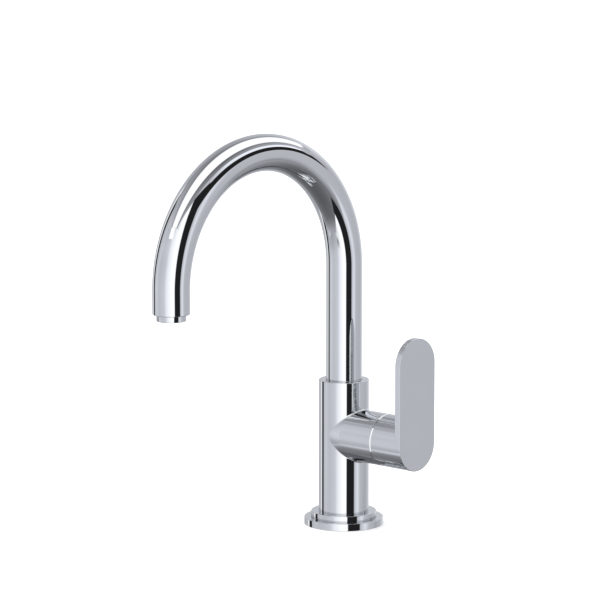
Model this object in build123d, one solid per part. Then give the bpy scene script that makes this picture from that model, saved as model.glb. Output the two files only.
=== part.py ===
from build123d import *
import os
from math import sqrt, sin, cos, radians, degrees, asin, atan2, pi

os.makedirs("parts", exist_ok=True)

# ---------------------------------------------------------------- driving dimensions (mm)
# Origin: centre of the base flange on the deck, +Z up, spout towards -Y, lever branch towards +X.

# base flange and column
flange_d = 55.0            # lower disc
flange_h = 5.0
step_d = 45.5              # upper step
step_top = 9.2
column_d = 35.0
column_top = 102.0
spigot_r = 15.0            # spigot of the inlet base inside the flange
base_plug_r = 14.0         # inlet base where it is soldered into the column
base_plug_top = 22.0

# side branch that holds the cartridge
branch_r = 18.1            # branch, hub and round ends of the plate are flush
branch_z = 64.2            # height of the branch axis
branch_end = 39.3          # x of its outer rim
branch_blend_x = 14.0      # the branch narrows gently into the column before this x
branch_blend_r = 118.0
branch_blend_depth = 1.3
junction_fillet = 1.2

# spout
tube_r = 12.5
tube_bore_r = 11.3
arch_r = 84.0              # centreline radius, so the reach is 168
arch_z = 182.3             # height of the arch's centre
outlet_z = 167.0           # lower end of the outlet leg
tube_foot_z = 93.0         # lower end of the tube inside the column

# spout bearing in the column
bore_r = 12.65
bore_floor = 80.5
swivel_deg = 60.0          # each way
limit_z = 90.25            # limit groove and its screw, above the two O-rings

# lever
pivot_x = 27.4             # tilt axis of the lever, on the branch axis
tilt_deg = 20.0
hub_start = 40.7
plate_in = 62.7
plate_out = 67.4
plate_r = branch_r
plate_rise = 55.6          # distance between the two round ends' centres; the lower one is on the branch axis
hub_sphere_r = 22.1        # hollow of the hub, about the pivot
dome_sphere_r = 21.62      # dome cover, about the pivot
dome_rim_r = 17.9          # its rim, almost flush with the branch
stem_half = 3.5            # half of the square stem
ball_arm = 6.4             # pivot to ball end
ball_r = 1.9

# ports of the cartridge, as (y, z) from the branch axis
port_cold = (-5.2, 3.0)
port_hot = (5.2, 3.0)
port_out = (0.0, -6.0)

# supply inlets and fixing stud in the foot
inlet_x = -4.0
inlet_y = 8.0
inlet_thread_r = 4.5       # M10 x 1, wall of the tapped hole
inlet_depth = 12.0
foot_z = 0.5
stud_x = 9.5
stud_thread_r = 4.0        # M8
deck_t = 20.0              # deck thickness at which the clamp is shown


# ---------------------------------------------------------------- helpers
def cyl_z(r, z0, z1, x=0.0, y=0.0):
    return Pos(x, y, (z0 + z1) / 2) * Cylinder(r, z1 - z0)


def cyl_x(r, x0, x1, y=0.0, z=0.0):
    return Pos((x0 + x1) / 2, y, z) * Rot(0, 90, 0) * Cylinder(r, x1 - x0)


def cyl_y(r, y0, y1, x=0.0, z=0.0):
    return Pos(x, (y0 + y1) / 2, z) * Rot(90, 0, 0) * Cylinder(r, y1 - y0)


def box(x0, x1, y0, y1, z0, z1):
    return Pos((x0 + x1) / 2, (y0 + y1) / 2, (z0 + z1) / 2) * Box(x1 - x0, y1 - y0, z1 - z0)


def turned_z(pts, x=0.0, y=0.0, arc=360):
    """Solid turned about Z from (r, z) points."""
    face = make_face(Polyline(*[(r, 0, z) for r, z in pts], close=True))
    return Pos(x, y, 0) * revolve(face, Axis.Z, arc)


def turned_x(pts):
    """Solid turned about the branch axis from (x, r) points."""
    face = make_face(Polyline(*[(x, 0, r) for x, r in pts], close=True))
    return Pos(0, 0, branch_z) * revolve(face, Axis.X, 360)


def one(shape):
    solids = shape.solids()
    assert len(solids) == 1, len(solids)
    return solids[0]


def out(shape, name):
    shape.label = name
    export_step(shape, f"parts/{name}.step")


def group(shapes, name):
    out(Compound(children=[one(s) for s in shapes]), name)


def arc_pts(radius, r0, r1, n=14):
    """(x, r) points on a sphere about the pivot between two radii from the axis."""
    a0, a1 = asin(r0 / radius), asin(r1 / radius)
    return [(pivot_x + radius * cos(a0 + (a1 - a0) * i / n), radius * sin(a0 + (a1 - a0) * i / n)) for i in range(n + 1)]


# ---------------------------------------------------------------- base flange
flange = turned_z([(15.2, 0), (flange_d / 2, 0), (flange_d / 2, flange_h), (step_d / 2, flange_h), (step_d / 2, step_top), (15.2, step_top)])
rims = flange.edges().filter_by(GeomType.CIRCLE).filter_by(
    lambda e: (abs(e.radius - flange_d / 2) < 0.01 and e.center().Z > 1) or (abs(e.radius - step_d / 2) < 0.01 and e.center().Z > flange_h + 1))
flange = fillet(rims, 0.45)
flange -= turned_z([(20.0, -1), (25.0, -1), (25.0, 1.6), (20.0, 1.6)])
out(one(flange), "base_flange")
out(one(turned_z([(20.1, 0), (24.9, 0), (24.9, 1.6), (20.1, 1.6)])), "flange_gasket")

# ---------------------------------------------------------------- body casting
column = cyl_z(column_d / 2, step_top, column_top)
# branch: plain cylinder that narrows on a large radius and runs out inside the column
nose_in = branch_r - branch_blend_depth
nose_dx = sqrt(branch_blend_r**2 - (branch_blend_r - branch_blend_depth) ** 2)
with BuildSketch(Plane.XZ) as nose_sk:
    with BuildLine():
        p0 = (branch_blend_x - nose_dx, nose_in)
        p1 = (branch_blend_x, branch_r)
        a = degrees(asin(nose_dx / branch_blend_r)) / 2
        mid = (branch_blend_x - branch_blend_r * sin(radians(a)), branch_r - branch_blend_r * (1 - cos(radians(a))))
        ThreePointArc(p0, mid, p1)
        Polyline(p1, (branch_end, branch_r), (branch_end, 0), (p0[0], 0), p0)
    make_face()
branch = Pos(0, 0, branch_z) * revolve(nose_sk.sketch, Axis.X, 360)
body = column + branch
junction = body.edges().filter_by(
    lambda e: e.bounding_box().max.X < 18.2 and e.bounding_box().min.Z > branch_z - 25 and e.bounding_box().max.Z < branch_z + 25 and e.bounding_box().max.X > 1
    and e.length > 2)
body = fillet(junction, junction_fillet)
top_rim = body.edges().filter_by(GeomType.CIRCLE).filter_by(lambda e: abs(e.center().Z - column_top) < 0.01)
body = fillet(top_rim, 0.5)
end_rim = body.edges().filter_by(GeomType.CIRCLE).filter_by(lambda e: abs(e.center().X - branch_end) < 0.01)
body = chamfer(end_rim, 0.25)
body -= cyl_z(base_plug_r, step_top - 1, base_plug_top)
# spout bore, guide-ring groove, plenum and riser channel
body -= cyl_z(bore_r, bore_floor, column_top + 1)
body -= cyl_z(13.9, 96.5, 99.5)
body -= cyl_z(7.5, 76.0, bore_floor + 0.1, x=-2)
body -= cyl_z(3.2, branch_z + port_out[1] - 2.6, bore_floor + 0.1, x=-9)
# cartridge seat, thread of the retaining nut, seat of the dome cover
body -= cyl_x(12.75, 8.0, branch_end + 1, z=branch_z)
body -= cyl_x(15.0, 30.0, branch_end + 1, z=branch_z)
body -= cyl_x(16.0, 36.5, branch_end + 1, z=branch_z)
for y in (-9.5, 9.5):
    body -= cyl_x(1.6, 6.0, 8.5, y=y, z=branch_z)
# ports from the seat
body -= cyl_x(2.6, -9.0, 8.5, y=port_out[0], z=branch_z + port_out[1])
for (y, z), s in ((port_cold, -1), (port_hot, 1)):
    body -= cyl_x(2.4, inlet_x, 8.5, y=y, z=branch_z + z)
    body -= cyl_z(2.8, base_plug_top - 1, branch_z + z + 2.4, x=inlet_x, y=s * inlet_y)
# spout limit-screw hole
body -= cyl_y(2.0, bore_r - 1, 18.0, z=limit_z)
body = one(body)
out(body, "body_casting")

# inlet base, soldered into the column's foot: two tapped inlets and the stud's thread
inlet_base = cyl_z(spigot_r, foot_z, step_top) + cyl_z(base_plug_r, step_top, base_plug_top)
for s in (-1, 1):
    inlet_base -= cyl_z(inlet_thread_r, foot_z - 0.5, foot_z + inlet_depth, x=inlet_x, y=s * inlet_y)
    inlet_base -= cyl_z(2.8, 8.0, base_plug_top + 1, x=inlet_x, y=s * inlet_y)
inlet_base -= cyl_z(stud_thread_r, foot_z - 0.5, 14.0, x=stud_x)
out(one(inlet_base), "inlet_base")

# ---------------------------------------------------------------- spout
tube_section = Plane(origin=(0, 0, arch_z)) * Circle(tube_r)
arch_axis = Axis((0, -arch_r, arch_z), (1, 0, 0))
arch = revolve(tube_section, arch_axis, 180)
if arch.bounding_box().max.Z < arch_z + 50:
    arch = revolve(tube_section, Axis((0, -arch_r, arch_z), (-1, 0, 0)), 180)
inner_section = Plane(origin=(0, 0, arch_z)) * Circle(tube_bore_r)
arch_in = revolve(inner_section, arch_axis, 180)
if arch_in.bounding_box().max.Z < arch_z + 50:
    arch_in = revolve(inner_section, Axis((0, -arch_r, arch_z), (-1, 0, 0)), 180)
leg = cyl_z(tube_r, outlet_z, arch_z, y=-2 * arch_r)
leg = fillet(leg.edges().filter_by(GeomType.CIRCLE).filter_by(lambda e: abs(e.center().Z - outlet_z) < 0.01), 0.5)
tube = arch + cyl_z(tube_r, tube_foot_z, arch_z) + leg
tube -= arch_in + cyl_z(tube_bore_r, tube_foot_z - 1, arch_z) + cyl_z(tube_bore_r, outlet_z - 1, arch_z, y=-2 * arch_r)
out(one(tube), "spout_tube")

# tail that turns in the column: two O-ring grooves and the limit groove
tail = turned_z([(8.5, 81), (12.55, 81), (12.55, 82.0), (10.9, 82.0), (10.9, 84.2), (12.55, 84.2), (12.55, 85.2), (10.9, 85.2), (10.9, 87.4),
                 (12.55, 87.4), (12.55, 92.9), (11.25, 92.9), (11.25, 103), (8.5, 103)])
dog_r = 1.25
groove_half = swivel_deg + degrees(asin(dog_r / 11.2)) + 1.0
groove = turned_z([(10.8, limit_z - 1.65), (14, limit_z - 1.65), (14, limit_z + 1.65), (10.8, limit_z + 1.65)], arc=2 * groove_half)
tail -= Rot(0, 0, 90 - groove_half) * groove
out(one(tail), "spout_tail")
group([Pos(0, 0, 83.1) * Torus(11.75, 0.83), Pos(0, 0, 86.3) * Torus(11.75, 0.83)], "spout_o_rings")
guide = turned_z([(12.56, 96.6), (13.85, 96.6), (13.85, 99.4), (12.56, 99.4)]) - box(12, 15, -0.6, 0.6, 96, 100)
out(one(guide), "spout_guide_ring")
screw = cyl_y(1.95, 12.9, 16.9, z=limit_z) + cyl_y(dog_r, 11.15, 13.0, z=limit_z)
screw -= Pos(0, 16.9, limit_z) * Rot(90, 0, 0) * extrude(RegularPolygon(1.15, 6), 2.0, both=True)
out(one(screw), "spout_limit_screw")

# ---------------------------------------------------------------- outlet and aerator
oy = -2 * arch_r
oz = outlet_z
out(one(turned_z([(9.0, oz), (11.3, oz), (11.3, oz + 11), (7.4, oz + 11), (7.4, oz + 8.5), (9.0, oz + 8.5)], y=oy)), "outlet_bush")
hous = turned_z([(7.5, oz - 4.3), (9.95, oz - 4.3), (9.95, oz - 0.1), (8.95, oz - 0.1), (8.95, oz + 7.0), (8.0, oz + 7.0), (8.0, oz - 3.4), (7.5, oz - 3.4)], y=oy)
hous = fillet(hous.edges().filter_by(GeomType.CIRCLE).filter_by(lambda e: abs(e.radius - 9.95) < 0.01 and e.center().Z < oz - 4), 0.4)
out(one(hous), "aerator_housing")
out(one(turned_z([(7.45, oz + 7.05), (8.9, oz + 7.05), (8.9, oz + 8.45), (7.45, oz + 8.45)], y=oy)), "aerator_washer")
grid = cyl_z(7.9, oz - 3.35, oz - 1.4, y=oy)
for i in range(-3, 4):
    for j in range(-3, 4):
        if abs(i + j) <= 3:
            grid -= cyl_z(0.85, oz - 4, oz, x=2.15 * (i + j / 2), y=oy + 2.15 * j * sqrt(3) / 2)
out(one(grid), "aerator_outlet_grid")
core = turned_z([(7.1, oz - 1.35), (7.9, oz - 1.35), (7.9, oz + 6.2), (7.1, oz + 6.2)], y=oy) + cyl_z(7.2, oz + 1.2, oz + 2.2, y=oy)
for k in range(16):
    core -= Pos(0, oy, 0) * Rot(0, 0, k * 22.5) * cyl_z(0.5, oz + 1, oz + 2.5, x=5.6)
for k in range(8):
    core -= Pos(0, oy, 0) * Rot(0, 0, k * 45) * cyl_z(0.5, oz + 1, oz + 2.5, x=3.2)
out(one(core), "aerator_insert")
reg = turned_z([(0, oz + 2.3), (7.0, oz + 2.3), (7.0, oz + 4.6), (5.9, oz + 4.6), (5.9, oz + 3.2), (2.2, oz + 3.2), (2.2, oz + 4.6), (0, oz + 4.6)], y=oy)
for k in range(8):
    reg -= Pos(0, oy, 0) * Rot(0, 0, k * 45 + 22.5) * cyl_z(0.75, oz + 2, oz + 3.5, x=4.05)
out(one(reg), "flow_regulator")
screen = turned_z([(0, oz + 6.25), (7.9, oz + 6.25), (7.9, oz + 6.75), (0, oz + 6.75)], y=oy)
for i in range(-4, 5):
    for j in range(-4, 5):
        if abs(i + j) <= 4:
            screen -= cyl_z(0.5, oz + 6, oz + 7, x=1.55 * (i + j / 2), y=oy + 1.55 * j * sqrt(3) / 2)
out(one(screen), "aerator_screen")

# ---------------------------------------------------------------- cartridge, fixed pieces
bz = branch_z
base = cyl_x(12.6, 8.6, 12.0, z=bz)
for y in (-9.5, 9.5):
    base += cyl_x(1.5, 6.3, 8.7, y=y, z=bz)
seals, disc_seals = [], []
fixed = cyl_x(10.6, 12.0, 15.0, z=bz)
for (y, z) in (port_cold, port_hot, port_out):
    base -= cyl_x(2.4, 8, 13, y=y, z=bz + z)
    base -= cyl_x(3.6, 8, 9.9, y=y, z=bz + z)
    base -= cyl_x(3.4, 10.8, 13, y=y, z=bz + z)
    seals.append(cyl_x(3.5, 8.05, 9.85, y=y, z=bz + z) - cyl_x(2.4, 8, 10, y=y, z=bz + z))
    disc_seals.append(cyl_x(3.3, 10.85, 11.95, y=y, z=bz + z) - cyl_x(2.3, 10, 13, y=y, z=bz + z))
    fixed -= cyl_x(2.2, 11, 16, y=y, z=bz + z)
out(one(base), "cartridge_base")
group(seals, "cartridge_port_seals")
group(disc_seals, "ceramic_disc_seals")
for s in (-1, 1):
    fixed -= box(11, 16, s * 9.6 if s > 0 else -11, 11 if s > 0 else -9.6, bz - 1.5, bz + 1.5)
out(one(fixed), "fixed_ceramic_disc")
housing = turned_x([(12.05, 11.0), (12.05, 12.6), (31.0, 12.6), (31.0, 9.5), (34.0, 9.5), (34.0, 8.25), (29.5, 8.25), (29.5, 11.0)])
for s in (-1, 1):
    housing += box(12.05, 14.9, 9.7 if s > 0 else -11.2, 11.2 if s > 0 else -9.7, bz - 1.4, bz + 1.4)
out(one(housing), "cartridge_housing")

# retaining nut with four wrench slots, and dome cover
nut = turned_x([(31.05, 9.7), (31.05, 14.4), (31.5, 14.9), (36.4, 14.9), (36.4, 9.7)])
for k in range(4):
    nut -= Pos(0, 0, bz) * Rot(45 + 90 * k, 0, 0) * box(34.8, 37, -1.6, 1.6, 11.5, 16)
out(one(nut), "cartridge_nut")
dome_pts = [(branch_end, dome_rim_r)] + arc_pts(dome_sphere_r, dome_rim_r, 11.6) + arc_pts(20.1, 11.6, 14.6) + [(36.8, 14.6), (36.8, 15.95), (branch_end, 15.95)]
out(one(turned_x(dome_pts)), "dome_cover")

# ---------------------------------------------------------------- cartridge, moving pieces
disc = cyl_x(8.4, 15.05, 18.5, z=bz)
disc -= cyl_x(3.6, 14, 17.0, z=bz) + box(14, 17.0, -2.5, 2.5, bz - 7.0, bz)
for s in (-1, 1):
    disc -= box(17.2, 19, 6.9 if s > 0 else -9, 9 if s > 0 else -6.9, bz - 1.6, bz + 1.6)
out(one(disc), "moving_ceramic_disc")
carrier = cyl_x(8.4, 18.55, 22.9, z=bz)
for s in (-1, 1):
    carrier -= box(18, 24, 6.5 if s > 0 else -9, 9 if s > 0 else -6.5, bz - 9, bz + 9)
carrier -= cyl_x(ball_r + 0.15, 18.9, 24, z=bz)
out(one(carrier), "disc_carrier")

rotor = turned_x([(23.2, 0), (23.2, 10.85), (29.3, 10.85), (29.3, 8.1), (33.6, 8.1), (33.6, 0)])
rails = (cyl_x(10.7, 18.8, 23.6, z=bz) - box(18, 24, -6.65, 6.65, bz - 12, bz + 12))
rails &= box(18, 24, -12, 12, bz - 6.0, bz + 6.0)
rotor += rails
slot_pts = [(-4.4, -3.9), (0, -4.1), (6.4, -6.4), (6.4, 3.8), (0.5, 3.8), (-1.0, 4.8), (-4.4, 4.8)]
slot = extrude(make_face(Polyline(*[(pivot_x + x, 0, bz + z) for x, z in slot_pts], close=True)), 3.6, both=True)
rotor -= slot
rotor -= cyl_y(1.52, -12, 12, x=pivot_x, z=bz)
out(one(rotor), "cartridge_rotor")
out(one(cyl_y(1.5, -10.3, 10.3, x=pivot_x, z=bz)), "stem_pivot_pin")

stem = box(24.6, 60.0, -stem_half, stem_half, bz - stem_half, bz + stem_half)
stem = chamfer(stem.edges().filter_by(Axis.X), 0.6)
stem += cyl_x(1.2, pivot_x - ball_arm, 25.0, z=bz) + Pos(pivot_x - ball_arm, 0, bz) * Sphere(ball_r)
stem -= cyl_y(1.58, -5, 5, x=pivot_x, z=bz)
out(one(stem), "cartridge_stem")

# ---------------------------------------------------------------- lever
rim_r = sqrt(hub_sphere_r**2 - (hub_start - pivot_x) ** 2)
half_angle = asin(rim_r / hub_sphere_r) / 2
with BuildSketch(Plane.XZ) as hub_sk:
    with BuildLine():
        h0 = (hub_start, rim_r)
        h1 = (pivot_x + hub_sphere_r, 0)
        ThreePointArc(h0, (pivot_x + hub_sphere_r * cos(half_angle), hub_sphere_r * sin(half_angle)), h1)
        Polyline(h1, (plate_in, 0), (plate_in, branch_r), (hub_start, branch_r), h0)
    make_face()
hub = Pos(0, 0, branch_z) * revolve(hub_sk.sketch, Axis.X, 360)
plate_face = Plane(origin=(plate_in, 0, branch_z + plate_rise / 2), x_dir=(0, 0, 1), z_dir=(1, 0, 0)) * SlotCenterToCenter(plate_rise, 2 * plate_r)
plate = extrude(plate_face, plate_out - plate_in)
plate = fillet(plate.edges().filter_by(lambda e: abs(e.center().X - plate_out) < 0.01), 0.35)
handle = plate + hub
handle -= box(46, 60.2, -3.55, 3.55, bz - 3.55, bz + 3.55)
handle -= cyl_z(2.5, bz - 20, bz, x=55.0)
handle -= cyl_z(3.3, bz - 20, bz - branch_r + 2.6, x=55.0)
out(one(handle), "lever_handle")
grub = cyl_z(2.45, bz - 12.5, bz - 3.6, x=55.0)
grub -= Pos(55.0, 0, bz - 12.5) * extrude(RegularPolygon(1.45, 6), 3.0, both=True)
out(one(grub), "lever_grub_screw")
plug = (cyl_z(3.25, bz - 19, bz - branch_r + 2.5, x=55.0) + cyl_z(2.3, bz - branch_r + 2.4, bz - branch_r + 4.6, x=55.0)) & cyl_x(branch_r - 0.05, 50, 60, z=bz)
out(one(plug), "grub_screw_plug")

# ---------------------------------------------------------------- fixing kit under the deck
thread = [(0.9, -46), (3.3, -46), (3.95, -45.35)]
z = -45.35
while z < 12.0:
    thread += [(3.95, z + 0.15), (3.4, z + 0.55), (3.4, z + 0.75), (3.95, z + 1.1)]
    z += 1.25
thread += [(3.3, z + 0.5), (0, z + 0.5), (0, -44.2), (0.9, -44.2)]
stud = turned_z(thread, x=stud_x) - box(stud_x - 0.6, stud_x + 0.6, -6, 6, -47, -44.0)
out(one(stud), "fixing_stud")


def horseshoe(z0, z1, ro):
    s = cyl_z(ro, z0, z1) - box(-40, 3.0, -14.0, 14.0, z0 - 1, z1 + 1) - cyl_z(4.4, z0 - 1, z1 + 1, x=stud_x)
    s -= box(-40, -12.0, -40, 40, z0 - 1, z1 + 1)
    return one(s)


out(horseshoe(-deck_t - 3.0, -deck_t, 23.0), "clamp_rubber")
out(horseshoe(-deck_t - 5.5, -deck_t - 3.0, 22.5), "clamp_plate")
hexnut = Pos(stud_x, 0, -deck_t - 13.5) * extrude(RegularPolygon(13.0 / 2, 6, major_radius=False), 8.0)
hexnut &= turned_z([(0, -deck_t - 13.5), (6.6, -deck_t - 13.5), (7.6, -deck_t - 12.9), (7.6, -deck_t - 5.5), (0, -deck_t - 5.5)], x=stud_x)
hexnut -= cyl_z(4.0, -deck_t - 14, -deck_t - 5, x=stud_x)
out(one(hexnut), "clamp_nut")
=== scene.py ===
import math

import bpy
import numpy as np
from mathutils import Matrix, Vector


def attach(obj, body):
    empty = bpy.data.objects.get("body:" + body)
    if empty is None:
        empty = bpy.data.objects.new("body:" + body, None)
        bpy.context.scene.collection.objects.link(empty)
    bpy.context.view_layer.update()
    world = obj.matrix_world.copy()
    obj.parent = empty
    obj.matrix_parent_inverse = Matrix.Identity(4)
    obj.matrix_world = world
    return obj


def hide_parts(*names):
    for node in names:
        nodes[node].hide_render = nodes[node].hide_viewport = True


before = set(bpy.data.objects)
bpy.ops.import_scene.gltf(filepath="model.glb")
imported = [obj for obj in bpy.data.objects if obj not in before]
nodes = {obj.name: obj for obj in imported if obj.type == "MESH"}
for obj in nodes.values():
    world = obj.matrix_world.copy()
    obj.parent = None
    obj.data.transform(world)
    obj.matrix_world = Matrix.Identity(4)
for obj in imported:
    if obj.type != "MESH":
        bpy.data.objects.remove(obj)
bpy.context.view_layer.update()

scene = bpy.context.scene

# ---------------------------------------------------------------- dimensions (mm), as in the CAD model
FLANGE_R, FLANGE_H = 27.5, 5.0
STEP_R, STEP_TOP = 22.75, 9.2
COLUMN_R, COLUMN_TOP = 17.5, 102.0
PLUG_R, PLUG_TOP = 14.0, 22.0
BRANCH_R, BRANCH_Z, BRANCH_END = 18.1, 64.2, 39.3
NOSE_X, NOSE_R = 14.0, 118.0
JUNCTION = 1.2
TUBE_R, TUBE_BORE = 12.5, 11.3
ARCH_R, ARCH_Z, OUTLET_Z, FOOT_Z = 84.0, 182.3, 167.0, 93.0
SPOUT_BORE, BORE_FLOOR, LIMIT_Z = 12.65, 80.5, 90.25
PIVOT_X, HUB_START, PLATE_IN, PLATE_OUT, PLATE_RISE = 27.4, 40.7, 62.7, 67.4, 55.6
HUB_SPHERE, DOME_SPHERE, DOME_RIM = 22.1, 21.62, 17.9

TAU = 2 * math.pi


# ---------------------------------------------------------------- mesh toolkit
class Shape:
    """Patches in millimetres, each with its own normals, welded into one closed mesh."""

    def __init__(self):
        self.points, self.faces, self.normals, self.slots, self.count = [], [], [], [], 0

    def grid(self, p, n, slot=0):
        """A patch of rows x columns points. Its faces turn to the side that the normals say."""
        p, n = np.asarray(p, float), np.asarray(n, float)
        rows, cols = p.shape[:2]
        i = self.count + np.arange(rows * cols).reshape(rows, cols)
        f = np.stack([i[:-1, :-1], i[1:, :-1], i[1:, 1:], i[:-1, 1:]], -1).reshape(-1, 4)
        flat_p, flat_n = p.reshape(-1, 3), n.reshape(-1, 3)
        a, b, c, d = (flat_p[f[:, k] - self.count] for k in range(4))
        way = np.einsum("ij,ij->i", np.cross(c - a, d - b), flat_n[f - self.count].mean(1)).sum()
        if way < 0:
            f = f[:, ::-1]
        self.points.append(flat_p)
        self.faces.append(f)
        self.normals.append(flat_n[f - self.count])
        self.slots.append(np.full(len(f), slot, np.int32))
        self.count += rows * cols

    def rings(self, curves, normals, slot=0):
        self.grid(np.stack(curves), np.stack(normals), slot)

    def cap(self, curve, centre, normal, rows=2, slot=0):
        """A flat or gently curved end: a closed curve joined to its centre."""
        curve = np.asarray(curve, float)
        t = np.linspace(0, 1, rows)[:, None, None]
        p = curve[None] * (1 - t) + np.asarray(centre, float)[None, None] * t
        self.grid(p, np.broadcast_to(np.asarray(normal, float), p.shape), slot)

    def build(self, name, materials, body, replaced=None):
        v = np.concatenate(self.points)
        f = np.concatenate(self.faces)
        n = np.concatenate(self.normals)
        s = np.concatenate(self.slots)
        key = np.round(v * 1e5).astype(np.int64)
        _, first, inverse = np.unique(key, axis=0, return_index=True, return_inverse=True)
        f = inverse.ravel()[f]
        v = v[first]
        same = f == np.roll(f, -1, axis=1)
        doubles = same.sum(1)
        quads, tris = doubles == 0, doubles == 1
        k = np.argmax(same[tris], axis=1)
        ft, nt = f[tris], n[tris]
        row = np.arange(len(ft))
        after = (k + 1) % 4
        nt[row, after] = nt[row, after] + nt[row, k]
        order = (k[:, None] + 1 + np.arange(3)[None]) % 4
        tri_f, tri_n = ft[row[:, None], order], nt[row[:, None], order]
        good = (tri_f[:, 0] != tri_f[:, 1]) & (tri_f[:, 1] != tri_f[:, 2]) & (tri_f[:, 0] != tri_f[:, 2])
        tri_f, tri_n = tri_f[good], tri_n[good]
        loops = np.concatenate([f[quads].ravel(), tri_f.ravel()])
        loop_n = np.concatenate([n[quads].reshape(-1, 3), tri_n.reshape(-1, 3)])
        loop_n /= np.maximum(np.linalg.norm(loop_n, axis=1, keepdims=True), 1e-12)
        nq, nt_ = int(quads.sum()), len(tri_f)
        starts = np.concatenate([np.arange(nq) * 4, nq * 4 + np.arange(nt_) * 3])
        used, loops = np.unique(loops, return_inverse=True)
        v = v[used]
        mesh = bpy.data.meshes.new(name)
        mesh.vertices.add(len(v))
        mesh.vertices.foreach_set("co", (v * 0.001).astype(np.float32).ravel())
        mesh.loops.add(len(loops))
        mesh.loops.foreach_set("vertex_index", loops.astype(np.int32).ravel())
        mesh.polygons.add(len(starts))
        mesh.polygons.foreach_set("loop_start", starts.astype(np.int32))
        mesh.polygons.foreach_set("use_smooth", np.ones(len(starts), bool))
        mesh.polygons.foreach_set("material_index", np.concatenate([s[quads], s[tris][good]]))
        mesh.update(calc_edges=True)
        mesh.normals_split_custom_set(loop_n.tolist())
        for m in materials if isinstance(materials, (list, tuple)) else [materials]:
            mesh.materials.append(m)
        o = bpy.data.objects.new(name, mesh)
        scene.collection.objects.link(o)
        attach(o, body)
        if replaced:
            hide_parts(*([replaced] if isinstance(replaced, str) else replaced))
        return o


def profile(points, closed=True, step=9.0):
    """Segments (p0, p1, n0, n1) along corners (a, b, radius). The solid is on the left of the way travelled."""
    pts = [np.array(p[:2], float) for p in points]
    rad = [p[2] if len(p) > 2 else 0.0 for p in points]
    n = len(pts)
    corners = []
    for i in range(n):
        if not closed and i in (0, n - 1) or rad[i] == 0:
            corners.append(([pts[i]], None))
            continue
        a, b, c = pts[i - 1], pts[i], pts[(i + 1) % n]
        d0, d1 = (b - a) / np.linalg.norm(b - a), (c - b) / np.linalg.norm(c - b)
        turn = math.acos(max(-1, min(1, float(d0 @ d1))))
        side = 1.0 if d0[0] * d1[1] - d0[1] * d1[0] > 0 else -1.0
        t = rad[i] * math.tan(turn / 2)
        start = b - d0 * t
        centre = start + side * rad[i] * np.array([-d0[1], d0[0]])
        m = max(2, int(math.ceil(math.degrees(turn) / step)))
        arc, arc_n = [], []
        for k in range(m + 1):
            ang = side * turn * k / m
            ca, sa = math.cos(ang), math.sin(ang)
            w = start - centre
            w = np.array([w[0] * ca - w[1] * sa, w[0] * sa + w[1] * ca])
            arc.append(centre + w)
            arc_n.append(w / rad[i] * side)
        corners.append((arc, arc_n))
    segs = []
    last = n if closed else n - 1
    for i in range(last):
        arc, arc_n = corners[i]
        if arc_n is not None:
            for k in range(len(arc) - 1):
                segs.append((arc[k], arc[k + 1], arc_n[k], arc_n[k + 1]))
        p0, p1 = arc[-1], corners[(i + 1) % n][0][0]
        d = p1 - p0
        if np.linalg.norm(d) > 1e-7:
            nn = np.array([d[1], -d[0]]) / np.linalg.norm(d)
            segs.append((p0, p1, nn, nn))
    if not closed and corners[-1][1] is not None:
        pass
    return segs


def arc_segs(centre, radius, a0, a1, outward=1.0, step=3.0):
    """Segments along an arc from angle a0 to a1 (degrees). outward 1: the solid is inside the arc's circle."""
    m = max(2, int(math.ceil(abs(a1 - a0) / step)))
    out = []
    pts = [(centre[0] + radius * math.cos(math.radians(a0 + (a1 - a0) * k / m)), centre[1] + radius * math.sin(math.radians(a0 + (a1 - a0) * k / m))) for k in range(m + 1)]
    nrm = [outward * np.array([math.cos(math.radians(a0 + (a1 - a0) * k / m)), math.sin(math.radians(a0 + (a1 - a0) * k / m))]) for k in range(m + 1)]
    for k in range(m):
        out.append((np.array(pts[k]), np.array(pts[k + 1]), nrm[k], nrm[k + 1]))
    return out


def turn_z(shape, segs, angles, x=0.0, y=0.0, slot=0):
    """Turns (r, z) segments about a line along Z."""
    c, s = np.cos(angles), np.sin(angles)
    for p0, p1, n0, n1 in segs:
        ps = [np.stack([x + p[0] * c, y + p[0] * s, np.full_like(c, p[1])], -1) for p in (p0, p1)]
        ns = [np.stack([n[0] * c, n[0] * s, np.full_like(c, n[1])], -1) for n in (n0, n1)]
        shape.rings(ps, ns, slot)


def radial_x(angles):
    """Directions round the branch axis: 0 up, 90 degrees towards -Y."""
    return np.stack([np.zeros_like(angles), -np.sin(angles), np.cos(angles)], -1)


def turn_x(shape, segs, angles, z=BRANCH_Z, slot=0):
    """Turns (x, r) segments about the branch axis. The solid is on the left with r up, so the profile runs the other way from turn_z."""
    e = radial_x(angles)
    for p0, p1, n0, n1 in segs:
        ps = [np.array([p[0], 0, z]) + p[1] * e for p in (p0, p1)]
        ns = [np.array([n[0], 0, 0]) + n[1] * e for n in (n0, n1)]
        shape.rings(ps, ns, slot)


def around(n):
    return np.linspace(0, TAU, n + 1)


def smooth(t):
    t = np.clip(t, 0, 1)
    return t * t * (3 - 2 * t)


# ---------------------------------------------------------------- materials
def srgb(v):
    """The linear value of an 8-bit display value."""
    v = v / 255
    return v / 12.92 if v <= 0.04045 else ((v + 0.055) / 1.055) ** 2.4


def mat(name):
    m = bpy.data.materials.new(name)
    m.use_nodes = True
    nt = m.node_tree
    return m, nt, nt.nodes["Principled BSDF"]


def node(nt, kind, **values):
    n = nt.nodes.new(kind)
    for k, v in values.items():
        if hasattr(n, k) and k not in n.inputs:
            setattr(n, k, v)
        else:
            n.inputs[k].default_value = v
    return n


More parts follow.
